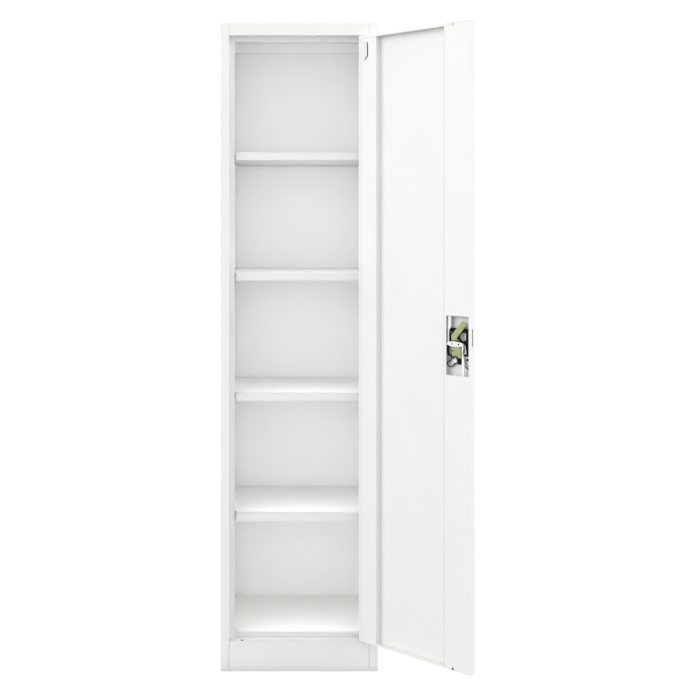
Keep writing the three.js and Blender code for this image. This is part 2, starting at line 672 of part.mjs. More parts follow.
// The tongue leans towards the free edge of the door, and the weight hangs below the axis
function latchCam() {
  const half = 9;
  const axis = -7;
  const elbow = [axis, 20];
  const lean = THREE.MathUtils.degToRad(48);
  const reach = 51;
  const corner = 5.5;
  const [c, s] = [Math.cos(lean), Math.sin(lean)];
  const tongue = roundedRectangle(-half, reach, -half, half, corner, 5).map(([a, b]) => (
    [elbow[0] + a * c - b * s, elbow[1] + a * s + b * c]
  ));
  const stem = [[axis - half, -12], [axis + half, -12], [axis + half, elbow[1]], [axis - half, elbow[1]]];
  const weight = [[-15, -30.5], [-4.5, -37], [15, -37], [15, -8], [-15, -8]]; // cut corner clears the stile
  const notch = [[-16, -19.8], [-8, -19.8], [-8, -18.2], [-16, -18.2]];
  const parts = [stem, circle(elbow[0], elbow[1], half, 24), tongue, weight, circle(0, 0, 13, 28)];
  const plate = join(...parts.map((outline) => lockPlate(outline, CAM_V)));
  const [v0, v1] = [CAM_V[0] - 1, CAM_V[1] + 1];
  return cut(plate, lockPlate(SQUARE_HOLE, [v0, v1]), lockPlate(notch, [v0, v1]));
}

const ROCKER = { length: 29.5, height: 7, holeAt: 11, holeR: 2.3 };
const ROCKER_PIN_R = 1.8;

function rockerPlate() {
  const { length, height, holeAt, holeR } = ROCKER;
  const lens = circle(0, 0, 1, 36).map(([x, y]) => [x * length, y * height]);
  const holes = [-1, 1].flatMap((end) => [
    circle(end * holeAt, 0, holeR, 14),
    circle(end * ROCKER_ARM, 0, ROCKER_PIN_R + GAP, 14),
  ]);
  return lockPlate(lens, ROCKER_V, [SQUARE_HOLE, ...holes]);
}

function rockerPin(end) {
  const at = end * ROCKER_ARM;
  return join(
    lockPlate(circle(at, 0, 2.8, 16), [ROD_V[0] - 1.5, ROD_V[0] - GAP]),
    lockPlate(circle(at, 0, ROCKER_PIN_R, 14), [ROD_V[0] - 1, ROCKER_V[1] + 1]),
    lockPlate(circle(at, 0, 2.8, 16), [ROCKER_V[1] + GAP, ROCKER_V[1] + 1.1]),
  );
}

// Path of the rocker's pin in the frame of the rod, which moves in step with the handle's angle
function pinPath(end) {
  const steps = 8;
  return Array.from({ length: steps + 1 }, (_, i) => {
    const angle = (LOCK_TURN * i) / steps;
    const along = ROCKER_ARM * Math.sin(angle) - (ROD_TRAVEL * angle) / LOCK_TURN;
    return [end * ROCKER_ARM * Math.cos(angle), -end * along];
  });
}

function lockRod(end, strip) {
  const eye = bandOutline(pinPath(end), ROCKER_PIN_R + GAP + 2.4);
  const slot = bandOutline(pinPath(end), ROCKER_PIN_R + GAP);
  const body = join(lockPlate(stripOutline(strip), ROD_V), lockPlate(eye, ROD_V));
  return cut(body, lockPlate(slot, [ROD_V[0] - 1, ROD_V[1] + 1]));
}

const ROD_LINE = ROD_U - LOCK_U;

function upperRod() {
  const tip = DOOR_TOP - SHEET - LOCK_Z;
  const half = ROD_WIDTH / 2;
  return lockRod(-1, [
    [-25.2, 1, 2.4],
    [-25.2, 34, 2.4],
    [-20.8, 48, 5.2],
    [-20.8, 96, 5.2],
    [ROD_LINE, 176, half],
    [ROD_LINE, tip - 8, half],
    [ROD_LINE, tip, half - 1.5],
  ]);
}

function lowerRod() {
  const tip = DOOR_BOTTOM + SHEET - LOCK_Z;
  const half = ROD_WIDTH / 2;
  return lockRod(1, [
    [22.5, -1, 2.6],
    [22.5, -32, 2.6],
    [24.5, -48, half],
    [24.5, -96, half],
    [ROD_LINE, -140, half],
    [ROD_LINE, tip + 8, half],
    [ROD_LINE, tip, half - 1.5],
  ]);
}

function rodGuide(z0, z1) {
  const [v0, v1] = ROD_V;
  const body = doorBlock(ROD_U - 9, ROD_U + 9, SHEET + GAP, DOOR_THICKNESS - SHEET - GAP, z0, z1);
  const half = ROD_WIDTH / 2 + 0.5;
  return cut(body, doorBlock(ROD_U - half, ROD_U + half, v0 - 0.4, v1 + 0.4, z0 - 1, z1 + 1));
}

// Bent wire beside the foot of the lock
function lockSpring() {
  const wireR = 0.8;
  const wireV = 9.4;
  const route = [[-34, -24], [-25, -30], [-19, -40], [-27, -46], [-31, -54], [-21, -61], [-6, -52]];
  const points = route.map(([p, q]) => new THREE.Vector3(PIVOT_U - LOCK_U - p, wireV - PIVOT_V, LOCK_Z + q));
  const section = new THREE.Shape(circle(0, 0, wireR, 8).map(([x, y]) => new THREE.Vector2(x, y)));
  const extrudePath = new THREE.CatmullRomCurve3(points);
  return toSolid(new THREE.ExtrudeGeometry(section, { steps: 28, bevelEnabled: false, extrudePath }));
}

function bottomPivotPin() {
  return join(
    alongZ(circle(0, 0, PIN_R), DOOR_BOTTOM - 15.5, DOOR_BOTTOM + 32),
    alongZ(circle(0, 0, PIN_R + 0.7), DOOR_BOTTOM + SHEET + GAP, DOOR_BOTTOM + 4),
    doorBlock(2.6, PIVOT_U, PIVOT_V - 1, PIVOT_V + 1, DOOR_BOTTOM + 12, DOOR_BOTTOM + 30),
  );
}

const TOP_PIN = { shoulder: 1745, foot: 1690, eye: 1704, neck: 1.4 };

// The finger plate stands behind the slot of the hinge stile, and follows its outline
function topPivotPin() {
  const { shoulder, foot, neck } = TOP_PIN;
  const tip = HEADER_Z + TOP_PIN_REACH;
  const { u0, u1, z0, z1, chamfer } = PIN_SLOT;
  const inset = 2.2;
  const right = u1 - inset;
  const outline = [[u0 - 1, z1 + 3], [right, z1 + 3], [right, z0 + chamfer], [right - chamfer, z0], [u0 - 1, z0]];
  const plateV = [HINGE_STILE_V - SHEET - GAP - 1.2, HINGE_STILE_V - SHEET - GAP];
  const xz = outline.map(([u, z]) => [PIVOT_U - u, z]);
  return join(
    alongZ(circle(0, 0, PIN_R), shoulder, tip),
    alongZ(circle(0, 0, neck, 12), foot, shoulder + 1),
    doorBlock(PIVOT_U - 1, 27, PIVOT_V - 1, PIVOT_V + 1, 1756, 1776),
    doorBlock(25, 27, PIVOT_V - 1, plateV[1], 1756, 1776),
    alongY(xz, plateV[0] - PIVOT_V, plateV[1] - PIVOT_V),
  );
}

function topPinBracket() {
  const { eye, neck } = TOP_PIN;
  const bracket = join(
    doorBlock(2.6, 15, SHEET + GAP, 9, eye - 4, eye),
    doorBlock(2.6, 3.8, SHEET + GAP, 9, eye - 40, eye),
  );
  return cut(bracket, alongZ(circle(0, 0, neck + GAP, 12), eye - 5, eye + 1));
}

class Helix extends THREE.Curve {
  constructor(radius, z0, z1, turns) {
    super();
    Object.assign(this, { radius, z0, z1, turns });
  }

  getPoint(t, target = new THREE.Vector3()) {
    const angle = 2 * Math.PI * this.turns * t;
    const z = THREE.MathUtils.lerp(this.z0, this.z1, t);
    return target.set(this.radius * Math.cos(angle), this.radius * Math.sin(angle), z);
  }
}

function topPinSpring() {
  const wireR = 0.35;
  const turns = 7;
  const section = new THREE.Shape(circle(0, 0, wireR, 5).map(([x, y]) => new THREE.Vector2(x, y)));
  const ends = wireR + GAP + 0.1;
  const extrudePath = new Helix(2.2, TOP_PIN.eye + ends, TOP_PIN.shoulder - ends, turns);
  return toSolid(new THREE.ExtrudeGeometry(section, { steps: turns * 12, bevelEnabled: false, extrudePath }));
}

place(door, "door_skin", doorSkin(), "coat");
place(door, "hinge_stile", hingeStile(), "coat");
place(door, "lock_stile", lockStile(), "coat");
place(door, "bottom_pivot_pin", bottomPivotPin(), "zinc");
place(door, "top_pin_bracket", topPinBracket(), "zinc");
place(door, "top_pin_spring", topPinSpring(), "zinc");
place(door, "rod_guide_top", rodGuide(DOOR_TOP - 50, DOOR_TOP - 35), "nylon");
place(door, "rod_guide_bottom", rodGuide(DOOR_BOTTOM + 35, DOOR_BOTTOM + 50), "nylon");
place(door, "handle_housing", handleHousing(), "blackPlastic");
HOUSING_SCREWS.forEach((at, i) => place(door, `housing_screw_${i + 1}`, housingScrew(at), "blackSteel"));
place(door, "lock_cylinder", lockCylinder(), "zinc");
place(door, "lock_spring", lockSpring(), "blackSteel");

place(door, "handle_lever", handleLever(), "blackPlastic");
place(door, "spindle", spindle(), "zinc");
place(door, "latch_cam", latchCam(), "yellowZinc");
place(door, "rocker_plate", rockerPlate(), "zinc");
place(door, "rocker_pin_upper", rockerPin(-1), "zinc");
place(door, "rocker_pin_lower", rockerPin(1), "zinc");

place(door, "key_plug", keyPlug(), "zinc");
place(door, "upper_rod", upperRod(), "zinc");
place(door, "lower_rod", lowerRod(), "zinc");
place(door, "top_pivot_pin", topPivotPin(), "coat");

const locker = new THREE.Group();
locker.add(cabinet, door);

export default locker;
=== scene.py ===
"""Looks of the locker cabinet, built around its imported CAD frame. Metres, +Z up, front towards -Y."""

import json
import math

import bmesh
import bpy
from mathutils import Matrix, Vector


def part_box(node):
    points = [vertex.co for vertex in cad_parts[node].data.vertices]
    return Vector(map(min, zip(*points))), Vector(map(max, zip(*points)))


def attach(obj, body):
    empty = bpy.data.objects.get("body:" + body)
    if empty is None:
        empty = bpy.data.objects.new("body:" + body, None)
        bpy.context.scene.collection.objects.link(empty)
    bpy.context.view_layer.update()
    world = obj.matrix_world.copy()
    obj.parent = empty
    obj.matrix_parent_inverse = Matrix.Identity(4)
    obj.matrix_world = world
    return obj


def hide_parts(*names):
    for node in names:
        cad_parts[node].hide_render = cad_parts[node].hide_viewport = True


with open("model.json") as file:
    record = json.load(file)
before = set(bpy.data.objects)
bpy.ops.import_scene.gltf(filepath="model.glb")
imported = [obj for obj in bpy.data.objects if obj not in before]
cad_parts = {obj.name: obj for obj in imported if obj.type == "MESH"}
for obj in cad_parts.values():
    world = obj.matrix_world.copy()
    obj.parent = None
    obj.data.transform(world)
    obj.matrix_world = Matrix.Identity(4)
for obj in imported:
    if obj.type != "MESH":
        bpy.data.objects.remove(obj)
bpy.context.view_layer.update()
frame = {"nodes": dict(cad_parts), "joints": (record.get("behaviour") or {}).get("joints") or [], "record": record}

SCENE = bpy.context.scene
NODES = frame["nodes"]
JOINTS = {joint["name"]: joint for joint in frame["joints"]}
MM = 0.001

# ---------------------------------------------------------------- camera

EYE_HEIGHT = 1.2644
EYE_DISTANCE = 3.4574  # from the cabinet's front plane
EYE_X = 0.0603
FRONT_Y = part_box("side_panel_left")[0].y
LENS = 62.72
SENSOR = 36.0
SHIFT_X = 0.0398
SHIFT_Y = -0.1722


def make_camera():
    data = bpy.data.cameras.new("camera")
    data.sensor_fit = "HORIZONTAL"
    data.sensor_width = SENSOR
    data.lens = LENS
    data.shift_x = SHIFT_X
    data.shift_y = SHIFT_Y
    data.clip_start = 0.05
    data.clip_end = 100.0
    camera = bpy.data.objects.new("camera", data)
    camera.location = (EYE_X, FRONT_Y - EYE_DISTANCE, EYE_HEIGHT)
    camera.rotation_euler = (math.pi / 2, 0.0, 0.0)
    SCENE.collection.objects.link(camera)
    SCENE.camera = camera


# ---------------------------------------------------------------- materials


NOISE_RANGE = (0.3, 0.7)  # where nearly all values of a noise texture lie


class Nodes:
    """A material's node tree, with short ways to add and join its nodes."""

    def __init__(self, name):
        self.material = bpy.data.materials.new(name)
        self.material.use_nodes = True
        self.tree = self.material.node_tree
        self.tree.nodes.clear()
        self.output = self.add("ShaderNodeOutputMaterial")
        self.shader = self.add("ShaderNodeBsdfPrincipled")
        self.link(self.shader, "BSDF", self.output, "Surface")
        self.coordinates = self.add("ShaderNodeTexCoord")

    def add(self, kind, **settings):
        node = self.tree.nodes.new(kind)
        for key, value in settings.items():
            setattr(node, key, value)
        return node

    def link(self, start, output, end, socket):
        self.tree.links.new(start.outputs[output], end.inputs[socket])

    def noise(self, scale, detail=2.0, roughness=0.5, stretch=(1.0, 1.0, 1.0)):
        mapping = self.add("ShaderNodeMapping")
        mapping.inputs["Scale"].default_value = stretch
        self.link(self.coordinates, "Object", mapping, "Vector")
        texture = self.add("ShaderNodeTexNoise")
        texture.inputs["Scale"].default_value = scale
        texture.inputs["Detail"].default_value = detail
        texture.inputs["Roughness"].default_value = roughness
        self.link(mapping, "Vector", texture, "Vector")
        return texture

    def colours(self, source, low, high):
        """The texture's value, spread over a ramp from one colour to the other."""
        ramp = self.add("ShaderNodeValToRGB")
        for element, position, colour in zip(ramp.color_ramp.elements, NOISE_RANGE, (low, high)):
            element.position = position
            element.color = (*colour, 1.0)
        self.link(source, "Fac", ramp, "Fac")
        return ramp

    def base_colour(self, tint, speckle):
        """Multiplies two colours. A colour mix has its factor at input 0, its colours at 6 and 7."""
        mix = self.add("ShaderNodeMix", data_type="RGBA", blend_type="MULTIPLY")
        mix.inputs[0].default_value = 1.0
        self.tree.links.new(tint.outputs["Color"], mix.inputs[6])
        self.tree.links.new(speckle.outputs["Color"], mix.inputs[7])
        self.tree.links.new(mix.outputs[2], self.shader.inputs["Base Color"])

    def shade_by_height(self, stops):
        """Keeps only a part of the colour, by stops of (height above the ground, part kept)."""
        tint = self.shader.inputs["Base Color"].links[0].from_socket
        place = self.add("ShaderNodeNewGeometry")
        split = self.add("ShaderNodeSeparateXYZ")
        self.link(place, "Position", split, "Vector")
        top = stops[-1][0]
        height = self.add("ShaderNodeMapRange")
        height.inputs["From Max"].default_value = top
        self.link(split, "Z", height, "Value")
        ramp = self.add("ShaderNodeValToRGB")
        elements = ramp.color_ramp.elements
        while len(elements) < len(stops):
            elements.new(1.0)
        for element, (level, kept) in zip(elements, stops):
            element.position = level / top
            element.color = (kept, kept, kept, 1.0)
        self.link(height, "Result", ramp, "Fac")
        product = self.add("ShaderNodeVectorMath", operation="MULTIPLY")
        self.tree.links.new(tint, product.inputs[0])
        self.tree.links.new(ramp.outputs["Color"], product.inputs[1])
        self.link(product, "Vector", self.shader, "Base Color")

    def spread(self, source, low, high, socket):
        """The texture's value, spread from low to high, into a socket of the shader."""
        spread = self.add("ShaderNodeMapRange")
        spread.inputs["From Min"].default_value, spread.inputs["From Max"].default_value = NOISE_RANGE
        spread.inputs["To Min"].default_value = low
        spread.inputs["To Max"].default_value = high
        self.link(source, "Fac", spread, "Value")
        self.link(spread, "Result", self.shader, socket)

    def bump(self, layers):
        """Height layers of (texture, strength, distance in metres), one over the other."""
        previous = None
        for texture, strength, distance in layers:
            bump = self.add("ShaderNodeBump")
            bump.inputs["Strength"].default_value = strength
            bump.inputs["Distance"].default_value = distance
            self.link(texture, "Fac", bump, "Height")
            if previous:
                self.link(previous, "Normal", bump, "Normal")
            previous = bump
        self.link(previous, "Normal", self.shader, "Normal")


def surface(
    name, low, high, roughness, metallic=0.0, cloud=7.0, grain=900.0, depth=0.00003,
    stretch=(1, 1, 1), specular=0.5,
):
    """A painted, plated or moulded surface: slow colour clouds, a fine grain, and a roughness that varies."""
    nodes = Nodes(name)
    nodes.shader.inputs["Metallic"].default_value = metallic
    nodes.shader.inputs["Specular IOR Level"].default_value = specular
    clouds = nodes.noise(cloud, 4.0, 0.6)
    fine = nodes.noise(grain, 3.0, 0.6, stretch)
    tint = nodes.colours(clouds, low, high)
    speckle = nodes.colours(fine, (0.955,) * 3, (1.0,) * 3)
    nodes.base_colour(tint, speckle)
    nodes.spread(nodes.noise(cloud * 9.0, 3.0, 0.6), roughness[0], roughness[1], "Roughness")
    nodes.bump([(fine, 0.5, depth), (nodes.noise(grain / 14.0, 2.0), 0.35, depth * 2.0)])
    return nodes


# These shades stand in for shadow that the lights don't make, and stay in any other light
FOOT_SHADE = [(0.0, 0.82), (0.018, 0.95), (0.05, 1.0)]  # height, part of the colour kept
LIP_SHADE = 0.80  # part kept on the upstand between the ledge and the floor
LIP_START = 0.0862  # just over the ledge
LIP_FULL = 0.0868
FLOOR_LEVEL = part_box("base_panel")[1].z


def white_coat(name):
    return surface(name, (0.852, 0.852, 0.842), (0.872, 0.872, 0.862), (0.36, 0.46), depth=0.000022)


def make_materials():
    coat = white_coat("powder_coat")
    # Copies of the white coat with painted shade: darker at the foot, and on the base's upstand behind the ledge
    foot = white_coat("painted_shade_foot_coat")
    foot.shade_by_height(FOOT_SHADE)
    base = white_coat("painted_shade_base_coat")
    base.shade_by_height([
        *FOOT_SHADE,
        (LIP_START, 1.0),
        (LIP_FULL, LIP_SHADE),
        (FLOOR_LEVEL - 0.002, LIP_SHADE),
        (FLOOR_LEVEL - 0.001, 1.0),
    ])
    zinc = surface(
        "bright_zinc", (0.86, 0.87, 0.87), (0.93, 0.94, 0.94), (0.34, 0.50), 0.35, 40.0, 1500.0, 0.00001,
        (1.0, 1.0, 0.08),
    )
    dull_zinc = surface(
        "dull_zinc", (0.50, 0.50, 0.51), (0.66, 0.66, 0.67), (0.36, 0.52), 0.5, 60.0, 1500.0, 0.00001,
    )
    yellow = surface(
        "yellow_zinc", (0.34, 0.378, 0.170), (0.43, 0.468, 0.228), (0.34, 0.48), 0.45, 60.0, 1500.0, 0.00001,
    )
    plastic = surface(
        "black_plastic", (0.0025,) * 3, (0.0045,) * 3, (0.50, 0.62), grain=2200.0, specular=0.16,
    )
    steel = surface(
        "black_steel", (0.003,) * 3, (0.006,) * 3, (0.38, 0.52), cloud=80.0, specular=0.22,
    )
    nylon = surface("nylon", (0.86, 0.86, 0.83), (0.90, 0.90, 0.87), (0.42, 0.52), cloud=90.0)
    cast = surface(
        "die_cast_zinc", (0.19, 0.19, 0.195), (0.27, 0.27, 0.275), (0.38, 0.52), 0.5, 70.0, 1300.0, 0.00002,
    )
    satin = surface(
        "satin_black", (0.012,) * 3, (0.018,) * 3, (0.30, 0.42), cloud=50.0, grain=1800.0, specular=0.45,
    )
    # Mid-grey copy of the white coat, for a painted shadow line
    shaded = surface("painted_shadow_coat", (0.50, 0.50, 0.49), (0.56, 0.56, 0.55), (0.45, 0.55))
    return {
        "die_cast": cast.material,
        "dull_zinc": dull_zinc.material,
        "coat": coat.material,
        "zinc": zinc.material,
        "yellow_zinc": yellow.material,
        "black_plastic": plastic.material,
        "black_steel": steel.material,
        "nylon": nylon.material,
        "satin_black": satin.material,
        "painted_shadow_coat": shaded.material,
        "painted_shade_foot_coat": foot.material,
        "painted_shade_base_coat": base.material,
    }


MATERIALS = make_materials()


def slots_of_nodes():
    return {row["node"]: row["material_slot"] for row in find_rows(frame["record"])}


def find_rows(value):
    """The record's rows that give a node's material slot, wherever they stand."""
    if isinstance(value, dict):
        if "node" in value and "material_slot" in value:
            yield value
        for inner in value.values():
            yield from find_rows(inner)
    elif isinstance(value, list):
        for inner in value:
            yield from find_rows(inner)


# ---------------------------------------------------------------- CAD nodes

FOLD_RADIUS = 0.00045  # edges of sheet metal
SMALL_RADIUS = 0.00030  # edges of small parts


def soften(piece, width):
    """Rounds the sharp edges by that width, after merging points that coincide."""
    weld = piece.modifiers.new("weld", "WELD")
    weld.merge_threshold = 0.000004
    bevel = piece.modifiers.new("edges", "BEVEL")
    bevel.width = width
    bevel.segments = 2
    bevel.limit_method = "ANGLE"
    bevel.angle_limit = math.radians(32)
    bevel.use_clamp_overlap = True
    bevel.harden_normals = False
    normals = piece.modifiers.new("normals", "WEIGHTED_NORMAL")
    normals.keep_sharp = True


# Nodes whose look differs from that of their slot: a real finish, or a copy of the white coat with painted shade
FINISHES_AND_PAINTED_SHADE = {
    "base_panel": "painted_shade_base_coat",
    "side_panel_left": "painted_shade_foot_coat",
    "side_panel_right": "painted_shade_foot_coat",
    "handle_lever": "satin_black",
    "lock_cylinder": "die_cast",
}


def dress_nodes():
    slots = slots_of_nodes()
    for name, piece in sorted(NODES.items()):
        key = slots.get(name, "coat")
        piece.data.materials.clear()
        piece.data.materials.append(MATERIALS[FINISHES_AND_PAINTED_SHADE.get(name, key)])
        soften(piece, FOLD_RADIUS if key == "coat" else SMALL_RADIUS)


# ---------------------------------------------------------------- small pieces


HANDLE_JOINT_DEPTH = 0.0045  # from the handle joint's point to the door's front face


def lock_frame():
    """Places what is drawn in p (towards the free edge), q (up) and v (depth into the door), in metres."""
    turn = JOINTS["handle_turn"]
    outward = Vector(turn["axis"]).normalized()
    along = Vector((outward.y, -outward.x, 0.0))
    origin = Vector(turn["pos_m"]) + outward * HANDLE_JOINT_DEPTH
    return Matrix((
        (along.x, 0.0, -outward.x, origin.x),
        (along.y, 0.0, -outward.y, origin.y),
        (0.0, 1.0, 0.0, origin.z),
        (0.0, 0.0, 0.0, 1.0),
    ))


LOCK = lock_frame()


def add_piece(name, bm, body, slot, matrix=None, material=None, smooth=True, bevel=0.0):
    """Makes a piece from mesh code drawn in millimetres, and lets it ride on a body."""
    bmesh.ops.recalc_face_normals(bm, faces=bm.faces)
    bm.transform(Matrix.Scale(MM, 4))
    if matrix is not None:
        bm.transform(matrix)
    mesh = bpy.data.meshes.new(name)
    bm.to_mesh(mesh)
    bm.free()
    for polygon in mesh.polygons:
        polygon.use_smooth = smooth
    mesh.materials.append(material or MATERIALS[slot])
    piece = bpy.data.objects.new(name, mesh)
    SCENE.collection.objects.link(piece)
    if bevel:
        soften(piece, bevel * MM)
    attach(piece, body)
    return piece


def add_plate(bm, outline, v0, v1, holes=()):
    """A flat plate with that outline in p and q, from depth v0 to v1, with holes through it."""
    loops = [list(outline), *[list(hole) for hole in holes]]
    levels = []
    for v in (v0, v1):
        edges = []
        for loop in loops:
            corners = [bm.verts.new((p, q, v)) for p, q in loop]
            following = [*corners[1:], corners[0]]
            edges.append([bm.edges.new(ends) for ends in zip(corners, following)])
        levels.append(edges)
        outline_edges = [edge for loop_edges in edges for edge in loop_edges]
        bmesh.ops.triangle_fill(bm, use_beauty=True, use_dissolve=False, edges=outline_edges)
    for lower, upper in zip(*levels):
        for first, second in zip(lower, upper):
            a, b = first.verts
            c, d = second.verts
            bm.faces.new((a, b, d, c))


def circle(p, q, radius, count=24):
    return [
        (p + radius * math.cos(2 * math.pi * i / count), q + radius * math.sin(2 * math.pi * i / count))
        for i in range(count)
    ]


def ring_points(centre, side, up, radius, count):
    return [centre + side * x + up * y for x, y in circle(0.0, 0.0, radius, count)]


def smooth_path(points, steps=8):
    """Points on a Catmull-Rom curve through the given ones."""
    given = [Vector(p) for p in points]
    padded = [2 * given[0] - given[1], *given, 2 * given[-1] - given[-2]]
    path = []
    for i in range(1, len(padded) - 2):
        p0, p1, p2, p3 = padded[i - 1:i + 3]
        for k in range(steps):
            t = k / steps
            path.append(0.5 * (
                2 * p1 + (p2 - p0) * t + (2 * p0 - 5 * p1 + 4 * p2 - p3) * t * t
                + (3 * p1 - p0 - 3 * p2 + p3) * t * t * t
            ))
    path.append(given[-1])
    return path


def add_wire(bm, points, radius, count=12, steps=8):
    """Round wire along a smooth curve, with domed ends."""
    path = smooth_path(points, steps)
    before = [path[0], *path[:-1]]
    after = [*path[1:], path[-1]]
    tangents = [(end - start).normalized() for start, end in zip(before, after)]
    side = tangents[0].orthogonal().normalized()
    rings = []

    def ring(centre, tangent, side, r):
        up = tangent.cross(side).normalized()
        rings.append([bm.verts.new(p) for p in ring_points(centre, side, up, r, count)])

    for angle in (80, 55, 28):
        a = math.radians(angle)
        ring(path[0] - tangents[0] * radius * math.sin(a), tangents[0], side, radius * math.cos(a))
    for centre, tangent in zip(path, tangents):
        side = (side - tangent * side.dot(tangent)).normalized()
        ring(centre, tangent, side, radius)
    for angle in (28, 55, 80):
        a = math.radians(angle)
        ring(path[-1] + tangents[-1] * radius * math.sin(a), tangents[-1], side, radius * math.cos(a))
    for low, high in zip(rings, rings[1:]):
        for i in range(count):
            j = (i + 1) % count
            bm.faces.new((low[i], low[j], high[j], high[i]))
    bm.faces.new(rings[0])
    bm.faces.new(rings[-1])


def add_lathe(bm, profile, centre, count=28):
    """Solid of revolution about the depth axis through centre, from (radius, depth) points.

    The first and last points are on the axis.
    """
    p, q = centre
    rings = []
    for radius, v in profile:
        if radius == 0:
            rings.append([bm.verts.new((p, q, v))])
        else:
            rings.append([bm.verts.new((x, y, v)) for x, y in circle(p, q, radius, count)])
    for low, high in zip(rings, rings[1:]):
        for i in range(count):
            j = (i + 1) % count
            if len(low) == 1:
                bm.faces.new((low[0], high[i], high[j]))
            elif len(high) == 1:
                bm.faces.new((low[i], low[j], high[0]))
            else:
                bm.faces.new((low[i], low[j], high[j], high[i]))


def add_screw(bm, p, q, seat, top):
    """Pan head with a cross recess, on a short shank."""
    step = seat + (top - seat) * 0.5
    arm = 2.0
    half = 0.45  # of the recess' width
    cross = [(arm, half), (half, half), (half, arm), (-half, arm), (-half, half), (-arm, half), (-arm, -half),
             (-half, -half), (-half, -arm), (half, -arm), (half, -half), (arm, -half)]
    add_plate(bm, circle(p, q, 3.0), step, top, [[(p + x, q + y) for x, y in cross]])
    shank_end = seat - 1.8
    add_lathe(bm, [
        (0, shank_end), (1.5, shank_end), (1.5, seat), (3.4, seat),
        (3.4, step), (3.2, step + 0.1), (0, step + 0.1),
    ], (p, q))


def lock_piece(name, draw, body, slot, bevel=0.0, material=None, smooth=True):
    bm = bmesh.new()
    draw(bm)
    return add_piece(name, bm, body, slot, LOCK, material, smooth, bevel)


